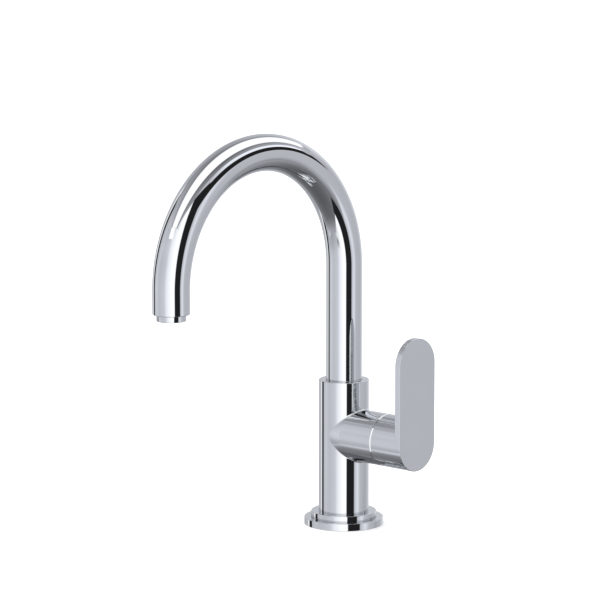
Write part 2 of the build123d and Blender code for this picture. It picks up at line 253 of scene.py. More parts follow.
def noise(nt, coords, scale, detail=4.0, roughness=0.5, stretch=None):
    t = node(nt, "ShaderNodeTexNoise")
    t.inputs["Scale"].default_value = scale
    t.inputs["Detail"].default_value = detail
    t.inputs["Roughness"].default_value = roughness
    if stretch is None:
        nt.links.new(coords, t.inputs["Vector"])
    else:
        mp = node(nt, "ShaderNodeMapping")
        mp.inputs["Scale"].default_value = stretch
        nt.links.new(coords, mp.inputs["Vector"])
        nt.links.new(mp.outputs[0], t.inputs["Vector"])
    return t.outputs["Fac"]


def spread(nt, value, lo, hi, to_lo, to_hi):
    r = node(nt, "ShaderNodeMapRange")
    for k, v in (("From Min", lo), ("From Max", hi), ("To Min", to_lo), ("To Max", to_hi)):
        r.inputs[k].default_value = v
    nt.links.new(value, r.inputs["Value"])
    return r.outputs[0]


def ramp(nt, value, stops):
    r = node(nt, "ShaderNodeValToRGB")
    els = r.color_ramp.elements
    els[0].position, els[0].color = stops[0][0], (*stops[0][1], 1)
    els[1].position, els[1].color = stops[-1][0], (*stops[-1][1], 1)
    for p, c in stops[1:-1]:
        e = els.new(p)
        e.color = (*c, 1)
    nt.links.new(value, r.inputs[0])
    return r.outputs[0]


def bump(nt, height, strength, distance, normal=None):
    b = node(nt, "ShaderNodeBump")
    b.inputs["Strength"].default_value = strength
    b.inputs["Distance"].default_value = distance
    nt.links.new(height, b.inputs["Height"])
    if normal is not None:
        nt.links.new(normal, b.inputs["Normal"])
    return b.outputs[0]


def coordinates(nt):
    return node(nt, "ShaderNodeTexCoord").outputs["Object"]


def add(nt, a, b):
    m = node(nt, "ShaderNodeMath")
    m.operation = "ADD"
    nt.links.new(a, m.inputs[0])
    nt.links.new(b, m.inputs[1])
    return m.outputs[0]


def times(nt, a, k):
    m = node(nt, "ShaderNodeMath")
    m.operation = "MULTIPLY"
    nt.links.new(a, m.inputs[0])
    if isinstance(k, (int, float)):
        m.inputs[1].default_value = k
    else:
        nt.links.new(k, m.inputs[1])
    return m.outputs[0]


CHROME = (0.685, 0.700, 0.715)


def chrome(name, tint=CHROME, haze=0.008, swirl=1.0):
    """Bright chromium plate over a polished base: nearly a mirror, with polishing haze, hairlines and dried-water specks."""
    m, nt, b = mat(name)
    c = coordinates(nt)
    cloud = noise(nt, c, 38.0, 3.0)
    fine = noise(nt, c, 900.0, 2.0)
    tone = ramp(nt, cloud, [(0.30, tuple(x * 0.985 for x in tint)), (0.70, tuple(min(1, x * 1.012) for x in tint))])
    nt.links.new(tone, b.inputs["Base Color"])
    b.inputs["Metallic"].default_value = 1.0
    b.inputs["Specular Tint"].default_value = (0.90, 0.90, 0.90, 1)
    hairs = noise(nt, c, 60.0, 2.0, 0.6, stretch=(30.0, 30.0, 1.0))
    hairs2 = noise(nt, c, 60.0, 2.0, 0.6, stretch=(1.5, 28.0, 28.0))
    specks = node(nt, "ShaderNodeTexVoronoi")
    specks.inputs["Scale"].default_value = 210.0
    nt.links.new(c, specks.inputs["Vector"])
    dots = spread(nt, specks.outputs["Distance"], 0.03, 0.09, 0.005, 0.0)
    rough = add(nt, spread(nt, cloud, 0.3, 0.75, haze * 0.6, haze * 1.6), spread(nt, fine, 0.35, 0.8, 0.0, haze * 0.7))
    rough = add(nt, rough, dots)
    rough = add(nt, rough, spread(nt, add(nt, hairs, hairs2), 1.18, 1.45, 0.0, 0.006))
    nt.links.new(rough, b.inputs["Roughness"])
    height = add(nt, times(nt, add(nt, hairs, hairs2), 0.25 * swirl), times(nt, fine, 0.15))
    nt.links.new(bump(nt, height, 0.12, 0.0000015), b.inputs["Normal"])
    return m


def metal(name, light, dark, rough, scale=120.0, brushed=None, relief=0.00002, strength=0.5):
    m, nt, b = mat(name)
    c = coordinates(nt)
    cloud = noise(nt, c, scale, 5.0, 0.6)
    lines = noise(nt, c, scale * 4, 3.0, 0.6, stretch=brushed) if brushed else noise(nt, c, scale * 6, 3.0, 0.6)
    nt.links.new(ramp(nt, cloud, [(0.28, dark), (0.72, light)]), b.inputs["Base Color"])
    b.inputs["Metallic"].default_value = 1.0
    nt.links.new(spread(nt, add(nt, cloud, lines), 0.7, 1.3, rough * 0.7, rough * 1.35), b.inputs["Roughness"])
    nt.links.new(bump(nt, add(nt, times(nt, cloud, 0.4), lines), strength, relief), b.inputs["Normal"])
    return m


def matt(name, light, dark, rough, scale=160.0, relief=0.00003, strength=0.4, specular=0.5, grain=8.0, coat=0.0):
    m, nt, b = mat(name)
    c = coordinates(nt)
    cloud = noise(nt, c, scale, 4.0, 0.55)
    g = noise(nt, c, scale * grain, 3.0, 0.6)
    nt.links.new(ramp(nt, cloud, [(0.3, dark), (0.7, light)]), b.inputs["Base Color"])
    b.inputs["Specular IOR Level"].default_value = specular
    b.inputs["Coat Weight"].default_value = coat
    b.inputs["Coat Roughness"].default_value = 0.2
    nt.links.new(spread(nt, add(nt, cloud, g), 0.7, 1.3, rough * 0.85, min(1.0, rough * 1.2)), b.inputs["Roughness"])
    nt.links.new(bump(nt, add(nt, times(nt, cloud, 0.5), g), strength, relief), b.inputs["Normal"])
    return m


M_CHROME = chrome("polished_chrome")
M_CHROME_LEVER = chrome("polished_chrome_lever")
M_CHROME_PLASTIC = chrome("plated_plastic", haze=0.012)
M_RUBBER = matt("seal_rubber", (0.030, 0.030, 0.032), (0.014, 0.014, 0.015), 0.55, 200.0, 0.00004, 0.5, 0.35)
M_BRASS = metal("turned_brass", (0.86, 0.66, 0.33), (0.66, 0.47, 0.20), 0.24, 150.0, brushed=(1.0, 1.0, 14.0))
M_STEEL = metal("zinc_plated_steel", (0.72, 0.73, 0.75), (0.52, 0.53, 0.54), 0.30, 180.0)
M_STAINLESS = metal("stainless", (0.68, 0.67, 0.65), (0.52, 0.51, 0.50), 0.26, 140.0, brushed=(1.0, 10.0, 10.0))
M_CERAMIC = matt("ceramic", (0.86, 0.85, 0.82), (0.80, 0.79, 0.76), 0.22, 90.0, 0.00001, 0.3, 0.6)
M_CARTRIDGE = matt("cartridge_plastic", (0.66, 0.66, 0.64), (0.58, 0.58, 0.56), 0.38, 140.0, 0.00003, 0.4)
M_ROTOR = matt("rotor_plastic", (0.070, 0.085, 0.110), (0.045, 0.055, 0.075), 0.40, 140.0, 0.00003, 0.4)
M_GUIDE = matt("guide_plastic", (0.80, 0.80, 0.78), (0.72, 0.72, 0.70), 0.42, 150.0, 0.00003, 0.4)
M_AERATOR = matt("aerator_plastic", (0.24, 0.25, 0.27), (0.16, 0.17, 0.18), 0.36, 150.0, 0.00003, 0.4)
M_REGULATOR = matt("regulator_plastic", (0.10, 0.32, 0.16), (0.06, 0.23, 0.11), 0.40, 150.0, 0.00003, 0.4)

SLOT_MATERIAL = {
    "chrome": M_CHROME, "chrome_zinc": M_CHROME_LEVER, "chrome_plastic": M_CHROME_PLASTIC, "seal_rubber": M_RUBBER,
    "brass": M_BRASS, "plated_steel": M_STEEL, "stainless": M_STAINLESS, "ceramic": M_CERAMIC,
    "cartridge_plastic": M_CARTRIDGE, "rotor_plastic": M_ROTOR, "guide_plastic": M_GUIDE,
    "aerator_plastic": M_AERATOR, "regulator_plastic": M_REGULATOR,
}


def dress(name, material):
    """Gives a CAD node its finish."""
    o = nodes[name]
    if not o.material_slots:
        o.data.materials.append(material)
    for s in o.material_slots:
        s.material = material


for name, material in {
    "flange_gasket": M_RUBBER, "inlet_base": M_BRASS, "spout_tail": M_BRASS, "spout_o_rings": M_RUBBER,
    "spout_guide_ring": M_GUIDE, "cartridge_base": M_CARTRIDGE, "cartridge_port_seals": M_RUBBER,
    "ceramic_disc_seals": M_RUBBER, "fixed_ceramic_disc": M_CERAMIC, "moving_ceramic_disc": M_CERAMIC,
    "cartridge_housing": M_CARTRIDGE, "cartridge_nut": M_BRASS, "disc_carrier": M_ROTOR, "cartridge_rotor": M_ROTOR,
    "stem_pivot_pin": M_STAINLESS, "cartridge_stem": M_STAINLESS, "lever_grub_screw": M_STEEL,
    "aerator_washer": M_RUBBER, "aerator_outlet_grid": M_AERATOR, "aerator_insert": M_GUIDE,
    "flow_regulator": M_REGULATOR, "aerator_screen": M_STAINLESS, "fixing_stud": M_STEEL,
    "clamp_rubber": M_RUBBER, "clamp_plate": M_STEEL, "clamp_nut": M_BRASS,
}.items():
    dress(name, material)


# ---------------------------------------------------------------- base flange
def base_flange():
    s = Shape()
    segs = profile([(15.2, 0), (20.0, 0), (20.0, 1.6), (25.0, 1.6), (25.0, 0), (FLANGE_R, 0, 0.12), (FLANGE_R, FLANGE_H, 0.45), (STEP_R - 0.5, FLANGE_H), (STEP_R - 0.5, FLANGE_H + 0.35), (STEP_R, FLANGE_H + 0.35, 0.05),
                    (STEP_R, STEP_TOP, 0.45), (15.2, STEP_TOP, 0.1)])
    turn_z(s, segs, around(288))
    return s.build("base_flange_chrome", M_CHROME, "mixer_body", "base_flange")


# ---------------------------------------------------------------- body casting: column and branch in one skin
def column_point(s, z):
    t = s / COLUMN_R
    return np.stack([COLUMN_R * np.cos(t), COLUMN_R * np.sin(t), z], -1), np.stack([np.cos(t), np.sin(t), np.zeros_like(t)], -1)


def body_casting():
    s = Shape()
    half, across, up = 22.0, 220, 88
    # edge of the unrolled band round the branch, counter-clockwise from its lower left corner
    w = math.pi * COLUMN_R
    us = np.concatenate([np.linspace(-w, w, across + 1)[:-1], np.full(up, w), np.linspace(w, -w, across + 1)[:-1], np.full(up + 1, -w)])
    zs = BRANCH_Z + np.concatenate([np.full(across, -half), np.linspace(-half, half, up + 1)[:-1], np.full(across, half), np.linspace(half, -half, up + 1)])

    # rolling ball between the column and the branch
    def ball(phi):
        """Centre of the ball, and the angle of the branch's nose where it touches."""
        sin_p, cos_p = np.sin(phi), np.cos(phi)
        r_col = COLUMN_R + JUNCTION
        r_off = BRANCH_R + JUNCTION
        lo, hi = np.zeros_like(phi), np.full_like(phi, math.asin(NOSE_X / (NOSE_R + JUNCTION)))

        def gap(a):
            x = NOSE_X - (NOSE_R + JUNCTION) * np.sin(a)
            r = BRANCH_R - NOSE_R + (NOSE_R + JUNCTION) * np.cos(a)
            return x**2 + (r * sin_p) ** 2 - r_col**2

        straight = (NOSE_X**2 + (r_off * sin_p) ** 2) <= r_col**2
        for _ in range(60):
            mid = (lo + hi) / 2
            above = gap(mid) > 0
            lo, hi = np.where(above, mid, lo), np.where(above, hi, mid)
        a = np.where(straight, 0.0, (lo + hi) / 2)
        x = np.where(straight, np.sqrt(np.maximum(r_col**2 - (r_off * sin_p) ** 2, 0)), NOSE_X - (NOSE_R + JUNCTION) * np.sin(a))
        r = np.where(straight, r_off, BRANCH_R - NOSE_R + (NOSE_R + JUNCTION) * np.cos(a))
        return np.stack([x, -r * sin_p, BRANCH_Z + r * cos_p], -1), a

    table = np.linspace(0, TAU, 40001)
    centres, _ = ball(table)
    th = np.arctan2(centres[:, 1], centres[:, 0])
    ray = np.unwrap(np.arctan2(centres[:, 2] - BRANCH_Z, th * COLUMN_R))
    want = np.arctan2(zs - BRANCH_Z, us)
    want = np.where(want < ray[0] - 1e-9, want + TAU, want)
    phi = np.interp(want, ray, table)
    phi[-1] = phi[0]
    c, a = ball(phi)
    theta = np.arctan2(c[:, 1], c[:, 0])
    n_col = np.stack([np.cos(theta), np.sin(theta), np.zeros_like(theta)], -1)
    n_br = np.stack([-np.sin(a), -np.cos(a) * np.sin(phi), np.cos(a) * np.cos(phi)], -1)

    # column skin round the branch
    t = (np.linspace(0, 1, 19) ** 1.3)[:, None]
    cu, cz = theta * COLUMN_R, c[:, 2]
    p, n = column_point(cu[None] + (us - cu)[None] * t, cz[None] + (zs - cz)[None] * t)
    s.grid(p, n)
    # fillet
    dot = np.clip((n_col * n_br).sum(1), -1, 1)
    om = np.arccos(dot)[None, :, None]
    t = np.linspace(0, 1, 11)[:, None, None]
    d = (np.sin((1 - t) * om) * n_col[None] + np.sin(t * om) * n_br[None]) / np.sin(om)
    d /= np.linalg.norm(d, axis=2, keepdims=True)
    s.grid(c[None] - JUNCTION * d, d)
    # branch
    x_c = c[:, 0] - JUNCTION * n_br[:, 0]
    t = (np.linspace(0, 1, 30) ** 1.4)[:, None]
    x = x_c[None] + (19.8 - x_c)[None] * t
    sa = np.clip((NOSE_X - x) / NOSE_R, 0, 1)
    ca = np.sqrt(1 - sa**2)
    r = BRANCH_R - NOSE_R + NOSE_R * ca
    e = radial_x(phi)[None]
    s.grid(np.stack([x, np.zeros_like(x), np.full_like(x, BRANCH_Z)], -1) + r[..., None] * e,
           np.stack([-sa, np.zeros_like(x), np.zeros_like(x)], -1) + ca[..., None] * e)
    # the branch's plain length, its rounded rim and the cartridge seat
    back = [(19.8, BRANCH_R), (BRANCH_END, BRANCH_R, 0.28), (BRANCH_END, 16.0), (36.5, 16.0), (36.5, 15.0), (30.0, 15.0), (30.0, 12.75), (8.0, 12.75), (8.0, 0.0)]
    turn_x(s, [(p0, p1, -n0, -n1) for p0, p1, n0, n1 in profile(back, closed=False)], phi)

    # upper band with the hole of the spout's limit screw at the back
    u = np.linspace(-w, w, across + 1)
    hole_u = w / 2
    i0, i1 = across * 3 // 4 - 6, across * 3 // 4 + 6
    z_lo, z_hi, z_rows = LIMIT_Z - 3.0, LIMIT_Z + 3.0, 12
    z_mid = np.linspace(z_lo, z_hi, z_rows + 1)
    z_top = COLUMN_TOP - 0.5
    for za, zb in ((BRANCH_Z + half, z_lo), (z_hi, z_top)):
        g, gn = column_point(np.tile(u, (2, 1)), np.array([[za], [zb]]) * np.ones((1, across + 1)))
        s.grid(g, gn)
    for cols in (slice(0, i0 + 1), slice(i1, across + 1)):
        uu = u[cols]
        g, gn = column_point(np.tile(uu, (z_rows + 1, 1)), z_mid[:, None] * np.ones((1, len(uu))))
        s.grid(g, gn)
    hu = np.concatenate([u[i0:i1], np.full(z_rows, u[i1]), u[i1:i0:-1], np.full(z_rows + 1, u[i0])])
    hz = np.concatenate([np.full(12, z_lo), z_mid[:-1], np.full(12, z_hi), z_mid[::-1]])
    beta = np.arctan2(hz - LIMIT_Z, hu - hole_u)
    hole_r, soft = 2.0, 0.15
    ring_r = hole_r + soft
    gx, gz = -ring_r * np.cos(beta), LIMIT_Z + ring_r * np.sin(beta)
    gy = np.sqrt(COLUMN_R**2 - gx**2)
    gu = np.arctan2(gy, gx) * COLUMN_R
    t = np.linspace(0, 1, 6)[:, None]
    g, gn = column_point(gu[None] + (hu - gu)[None] * t, gz[None] + (hz - gz)[None] * t)
    s.grid(g, gn)
    surf_n = np.stack([gx / COLUMN_R, gy / COLUMN_R, np.zeros_like(gx)], -1)
    in_n = np.stack([np.cos(beta), np.zeros_like(beta), -np.sin(beta)], -1)
    ps, ns = [], []
    for k in range(6):
        q = math.pi / 2 * k / 5
        rr = ring_r - soft * math.sin(q)
        x_ = -rr * np.cos(beta)
        z_ = LIMIT_Z + rr * np.sin(beta)
        y_ = np.sqrt(COLUMN_R**2 - x_**2) - soft * (1 - math.cos(q))
        ps.append(np.stack([x_, y_, z_], -1))
        ns.append(surf_n * math.cos(q) + in_n * math.sin(q))
    s.rings(ps, ns)
    deep = ps[-1].copy()
    deep[:, 1] = 13.0
    s.rings([ps[-1], deep], [in_n, in_n])
    s.cap(deep, (0, 13.0, LIMIT_Z), (0, 1, 0))
    # column top and the spout's bore
    th = u / COLUMN_R
    top = [(COLUMN_R, z_top - 0.01), (COLUMN_R, COLUMN_TOP, 0.5), (SPOUT_BORE + 0.15, COLUMN_TOP), (SPOUT_BORE, COLUMN_TOP - 0.15), (SPOUT_BORE, 99.5), (13.9, 99.5), (13.9, 96.5),
           (SPOUT_BORE, 96.5), (SPOUT_BORE, BORE_FLOOR), (0, BORE_FLOOR)]
    segs = profile(top, closed=False)
    segs = segs[1:] if np.linalg.norm(segs[0][1] - segs[0][0]) < 0.02 else segs
    turn_z(s, segs, th)
    # lower band, foot and the socket of the inlet base
    foot = [(0, PLUG_TOP), (PLUG_R, PLUG_TOP), (PLUG_R, STEP_TOP), (COLUMN_R, STEP_TOP, 0.12), (COLUMN_R, BRANCH_Z - half)]
    turn_z(s, profile(foot, closed=False), th)
    return s.build("body_casting_chrome", M_CHROME, "mixer_body", "body_casting")


# ---------------------------------------------------------------- spout tube
def spout_tube():
    s = Shape()
    n = 192
    psi = around(n)
    c, q = np.cos(psi), np.sin(psi)

    def ring(centre, e2, r, lean=None):
        e1 = np.array([1.0, 0, 0])
        d = c[:, None] * e1 + q[:, None] * np.asarray(e2, float)
        return np.asarray(centre, float) + r * d, d

    for r, sign, steps in ((TUBE_R, 1.0, 240), (TUBE_BORE, -1.0, 96)):
        ps, ns = [], []
        first = FOOT_Z
        if sign > 0:  # shadow gap on the column's top
            lo, first = COLUMN_TOP - 0.1, COLUMN_TOP + 0.3
            for (r0, z0), (r1, z1), flat in (((r, FOOT_Z), (r, lo), 0), ((r, lo), (r - 0.35, lo), 1),
                                             ((r - 0.35, lo), (r - 0.35, first), 0), ((r - 0.35, first), (r, first), -1)):
                (p0, d), (p1, _) = ring((0, 0, z0), (0, 1, 0), r0), ring((0, 0, z1), (0, 1, 0), r1)
                nn = np.tile([0.0, 0.0, float(flat)], (n + 1, 1)) if flat else d
                s.rings([p0, p1], [nn, nn])
        for z in (first, ARCH_Z):
            p, d = ring((0, 0, z), (0, 1, 0), r)
            ps.append(p), ns.append(sign * d)
        for k in range(1, steps + 1):
            t = math.pi * k / steps
            e2 = (0, math.cos(t), math.sin(t))
            p, d = ring((0, -ARCH_R + ARCH_R * e2[1], ARCH_Z + ARCH_R * e2[2]), e2, r)
            ps.append(p), ns.append(sign * d)
        end = OUTLET_Z + (0.5 if sign > 0 else 0.1)
        p, d = ring((0, -2 * ARCH_R, end), (0, -1, 0), r)
        ps.append(p), ns.append(sign * d)
        s.rings(ps, ns)
    # outlet end: rounded outside, small break inside
    lip_p, lip_n = [], []
    for k in range(9):
        t = math.pi / 2 * k / 8
        p, d = ring((0, -2 * ARCH_R, OUTLET_Z + 0.5 - 0.5 * math.sin(t)), (0, -1, 0), TUBE_R - 0.5 * (1 - math.cos(t)))
        lip_p.append(p), lip_n.append(math.cos(t) * d + np.array([0, 0, -math.sin(t)]))
    s.rings(lip_p, lip_n)
    down = np.tile([0.0, 0, -1], (n + 1, 1))
    p_in, d_in = ring((0, -2 * ARCH_R, OUTLET_Z), (0, -1, 0), TUBE_BORE + 0.1)
    s.rings([lip_p[-1], p_in], [down, down])
    p_up, d_up = ring((0, -2 * ARCH_R, OUTLET_Z + 0.1), (0, -1, 0), TUBE_BORE)
    s.rings([p_in, p_up], [down * 0.7 - 0.7 * d_in, down * 0.7 - 0.7 * d_in])
    a, _ = ring((0, 0, FOOT_Z), (0, 1, 0), TUBE_R)
    b, _ = ring((0, 0, FOOT_Z), (0, 1, 0), TUBE_BORE)
    s.rings([a, b], [down, down])
    return s.build("spout_tube_chrome", M_CHROME, "spout", "spout_tube")


# ---------------------------------------------------------------- outlet
def outlet():
    y = -2 * ARCH_R
    oz = OUTLET_Z
    s = Shape()
    turn_z(s, profile([(9.0, oz, 0.15), (11.3, oz), (11.3, oz + 11), (7.4, oz + 11), (7.4, oz + 8.5), (9.0, oz + 8.5)]), around(160), y=y)
    s.build("outlet_bush_turned", M_BRASS, "spout", "outlet_bush")
    s = Shape()
    turn_z(s, profile([(7.5, oz - 4.3, 0.15), (9.95, oz - 4.3, 0.45), (9.95, oz - 0.1, 0.25), (8.95, oz - 0.1), (8.95, oz + 7.0, 0.2), (8.0, oz + 7.0), (8.0, oz - 3.4), (7.5, oz - 3.4)]), around(192), y=y)
    s.build("aerator_collar_chrome", M_CHROME, "spout", "aerator_housing")


# ---------------------------------------------------------------- dome cover behind the lever
def dome_cover():
    s = Shape()
    phi = around(240)

    def at(r, radius):
        return PIVOT_X + math.sqrt(radius**2 - r**2)

    def deg(r, radius):
        return math.degrees(math.asin(r / radius))

    segs = [tuple(np.array(v, float) for v in q) for q in [
        ((BRANCH_END, 15.95), (BRANCH_END, DOME_RIM), (-1, 0), (-1, 0)),
        ((BRANCH_END, DOME_RIM), (at(DOME_RIM, DOME_SPHERE), DOME_RIM), (0, 1), (0, 1)),
        ((at(11.6, DOME_SPHERE), 11.6), (at(11.6, 20.1), 11.6), (0, -1), (0, -1)),
        ((at(14.6, 20.1), 14.6), (36.8, 14.6), (0, -1), (0, -1)),
        ((36.8, 14.6), (36.8, 15.95), (-1, 0), (-1, 0)),
        ((36.8, 15.95), (BRANCH_END, 15.95), (0, 1), (0, 1)),
    ]]
    segs += arc_segs((PIVOT_X, 0), DOME_SPHERE, deg(DOME_RIM, DOME_SPHERE), deg(11.6, DOME_SPHERE))
    segs += arc_segs((PIVOT_X, 0), 20.1, deg(11.6, 20.1), deg(14.6, 20.1), -1.0)
    turn_x(s, segs, phi)
    return s.build("dome_cover_chrome", M_CHROME, "mixer_body", "dome_cover")


# ---------------------------------------------------------------- lever: hub and plate in one skin
def lever():
    s = Shape()
    R, z0 = BRANCH_R, BRANCH_Z
    rim, edge, inner, cove, side = 0.30, 0.42, 0.30, 0.30, 60
    q = 120
    phi = np.linspace(0, TAU, 2 * q + 1)
    e = radial_x(phi)

    def taper(gap):
        """Roundings shrink to nothing where the hub runs into the plate's edge."""
        return 1 - np.exp(-gap / 0.9)

    soft = np.where(np.cos(phi) > 0, taper(R * (1 - np.abs(np.sin(phi)))), 0.0)
    # rim of the hub and its hollow
    rim_r = math.sqrt(HUB_SPHERE**2 - (HUB_START - PIVOT_X) ** 2)
    a_rim = math.degrees(math.asin(rim_r / HUB_SPHERE))
    a_in = math.degrees(math.asin(6.0 / HUB_SPHERE))
    segs = [(np.array([HUB_START, rim_r]), np.array([HUB_START, R - rim]), np.array([-1.0, 0]), np.array([-1.0, 0]))]
    segs += arc_segs((HUB_START + rim, R - rim), rim, 180, 90, 1.0, 9.0)
    segs += arc_segs((PIVOT_X, 0), HUB_SPHERE, a_rim, a_in, -1.0)
    turn_x(s, segs, phi)
    # hollow down to the stem's square hole
    sq = 3.55
    rho = sq / np.maximum(np.abs(np.cos(phi)), np.abs(np.sin(phi)))
    ps, ns = [], []
    for t in np.linspace(0, 1, 5):
        r = 6.0 + (rho - 6.0) * t
        p = np.stack([PIVOT_X + np.sqrt(HUB_SPHERE**2 - r**2), np.zeros_like(r), np.full_like(r, z0)], -1) + r[:, None] * e
        ps.append(p)
        ns.append(-(p - np.array([PIVOT_X, 0, z0])) / HUB_SPHERE)
    s.rings(ps, ns)
    end = ps[-1].copy()
    end[:, 0] = 60.2
    for k in range(4):
        ids = (np.arange(q // 2 + 1) + q // 4 + k * q // 2) % (2 * q)
        mid = radial_x(np.array([math.radians(90 + 90 * k)]))[0]
        nn = np.tile(-mid, (len(ids), 1))
        s.rings([ps[-1][ids], end[ids]], [nn, nn])
    s.cap(end, (60.2, 0, z0), (-1, 0, 0))

    # hub skin, with the grub screw's hole underneath
    hx = 55.0
    span = 10  # columns each side of the hole
    box_h = span * math.radians(1.5) * R
    x_a, x_b, rows = hx - box_h, hx + box_h, 18
    xm = np.linspace(x_a, x_b, rows + 1)
    x_end = PLATE_IN - cove * soft
    x_start = HUB_START + rim

    def hub_grid(x_rows, cols):
        ec = e[cols]
        p = np.stack([x_rows, np.zeros_like(x_rows), np.full_like(x_rows, z0)], -1) + R * ec[None]
        s.grid(p, np.broadcast_to(ec[None], p.shape))

    every = slice(0, 2 * q + 1)
    hub_grid(np.stack([np.full(2 * q + 1, x_start), np.full(2 * q + 1, x_a)]), every)
    hub_grid(np.stack([np.full(2 * q + 1, x_b), x_end]), every)
    j0, j1 = q - span, q + span
    for cols in (slice(0, j0 + 1), slice(j1, 2 * q + 1)):
        m = len(phi[cols])
        hub_grid(xm[:, None] * np.ones((1, m)), cols)
    # unrolled: v = (phi - pi) * R against x
    v = (phi - math.pi) * R
    bx = np.concatenate([np.full(2 * span, x_a), xm[:-1], np.full(2 * span, x_b), xm[::-1]])
    bv = np.concatenate([v[j0:j1], np.full(rows, v[j1]), v[j1:j0:-1], np.full(rows + 1, v[j0])])
    beta = np.arctan2(bx - hx, bv)
    hole, brk = 3.3, 0.15
    rr = hole + brk

    def on_hub(radius, sink=0.0):
        """Circle about the hole's axis, on the hub's skin or sunk below it."""
        y = radius * np.cos(beta)
        x = hx + radius * np.sin(beta)
        return np.stack([x, y, z0 - np.sqrt(R**2 - y**2) + sink], -1)

    ring = on_hub(rr)
    rv = np.arcsin(ring[:, 1] / R) * R
    t = np.linspace(0, 1, 6)[:, None]
    gv, gx = rv[None] + (bv - rv)[None] * t, ring[None, :, 0] + (bx - ring[:, 0])[None] * t
    an = gv / R
    s.grid(np.stack([gx, R * np.sin(an), z0 - R * np.cos(an)], -1), np.stack([np.zeros_like(an), np.sin(an), -np.cos(an)], -1))
    skin_n = np.stack([np.zeros_like(beta), ring[:, 1] / R, -np.sqrt(1 - (ring[:, 1] / R) ** 2)], -1)
    to_axis = np.stack([-np.sin(beta), -np.cos(beta), np.zeros_like(beta)], -1)
    ps, ns = [], []
    for k in range(6):
        w = math.pi / 2 * k / 5
        ps.append(on_hub(rr - brk * math.sin(w), brk * (1 - math.cos(w))))
        ns.append(skin_n * math.cos(w) + to_axis * math.sin(w))
    s.rings(ps, ns)
    floor = ps[-1].copy()
    floor[:, 2] = z0 - R + 2.6
    s.rings([ps[-1], floor], [to_axis, to_axis])
    small = np.stack([hx + 2.5 * np.sin(beta), 2.5 * np.cos(beta), floor[:, 2]], -1)
    dn = np.tile([0.0, 0, -1], (len(beta), 1))
    s.rings([floor, small], [dn, dn])
    up = small.copy()
    up[:, 2] = z0 - 3.9
    s.rings([small, up], [to_axis, to_axis])
    s.cap(up, (hx, 0, z0 - 3.9), (0, 0, -1))

    # outline of the plate: lower half round, side, upper half round, side; it starts and ends at y = +R
    low = phi[q // 2: q + q // 2 + 1]  # 90..270 degrees
    rise = np.linspace(0, PLATE_RISE, side + 1)
    up_phi = np.linspace(-math.pi / 2, math.pi / 2, q + 1)  # -90 is +Y
    out_low = R * radial_x(low)  # from -Y down to +Y
    n_low = radial_x(low)
    right = np.stack([np.zeros(side + 1), np.full(side + 1, R), rise], -1)
    out_up = R * radial_x(up_phi) + np.array([0, 0, PLATE_RISE])
    n_up = radial_x(up_phi)
    left = np.stack([np.zeros(side + 1), np.full(side + 1, -R), rise[::-1]], -1)
    upper = np.concatenate([right[:-1], out_up, left[1:]])
    upper_n = np.concatenate([np.tile([0.0, 1, 0], (side, 1)), n_up, np.tile([0.0, -1, 0], (side, 1))])
    outline = np.concatenate([upper, out_low[1:]])
    outline_n = np.concatenate([upper_n, n_low[1:]])
    m = len(upper)
    axis = np.array([0, 0, z0])
    along = np.concatenate([[0], np.cumsum(np.linalg.norm(np.diff(upper, axis=0), axis=1))])
    near = np.minimum(along, along[-1] - along)
    in_r = inner * taper(R - np.sqrt(np.maximum(R**2 - np.minimum(near, R) ** 2, 0)))
    in_all = np.concatenate([in_r, np.zeros(len(out_low) - 1)])

    def at_x(curve, x):
        p = curve + axis
        p = p.copy()
        p[:, 0] = x
        return p

    # the plate's side, from the inner to the outer edge
    s.rings([at_x(outline, PLATE_IN + in_all), at_x(outline, PLATE_OUT - edge)], [outline_n, outline_n])
    # outer edge
    ps, ns = [], []
    for k in range(9):
        w = math.pi / 2 * k / 8
        ps.append(at_x(outline - outline_n * edge * (1 - math.cos(w)), PLATE_OUT - edge + edge * math.sin(w)))
        ns.append(outline_n * math.cos(w) + np.array([math.sin(w), 0, 0]))
    s.rings(ps, ns)
    # outer face, to the line between the round ends' centres
    spine = np.zeros_like(outline)
    spine[:, 2] = np.clip(outline[:, 2], 0, PLATE_RISE)
    last = ps[-1]
    mid = at_x(spine, PLATE_OUT)
    xs = np.tile([1.0, 0, 0], (len(outline), 1))
    s.rings([last + (mid - last) * t for t in (0, 0.35, 0.7, 1.0)], [xs] * 4)
    # inner edge of the upper part
    ps, ns = [], []
    for k in range(7):
        w = math.pi / 2 * k / 6
        ps.append(at_x(upper - upper_n * (in_r * (1 - math.sin(w)))[:, None], PLATE_IN + in_r * (1 - math.cos(w))))
        ns.append(upper_n * math.sin(w) + np.array([-math.cos(w), 0, 0]))
    s.rings(ps, ns)
    inner_edge = ps[0]
    # cove between the hub and the plate
    hub_phi = np.linspace(-math.pi / 2, math.pi / 2, q + 1)
    idx = (np.arange(q + 1) - q // 2) % (2 * q)
    he = e[idx]
    hs = (cove * soft)[idx]
    ps, ns = [], []
    for k in range(7):
        w = math.pi / 2 * k / 6
        r = R + hs * (1 - math.cos(w))
        x = PLATE_IN - hs * (1 - math.sin(w))
        ps.append(np.stack([x, np.zeros_like(x), np.full_like(x, z0)], -1) + r[:, None] * he)
        ns.append(he * math.cos(w) + np.array([-math.sin(w), 0, 0]))
    s.rings(ps, ns)
    face_edge = ps[-1]
    # inner face: the outer loop has more samples than the hub's, so the hub's are resampled as triangles at its corners
    el = np.linspace(0, math.pi / 2, q // 2 + 1)
    half_way = R * np.sin(el) + (along[-1] / 2 - R) * (np.clip((el - 0.5) / (math.pi / 2 - 0.5), 0, 1)) ** 2
    share_o = along
    share_h = np.concatenate([half_way, along[-1] - half_way[-2::-1]])
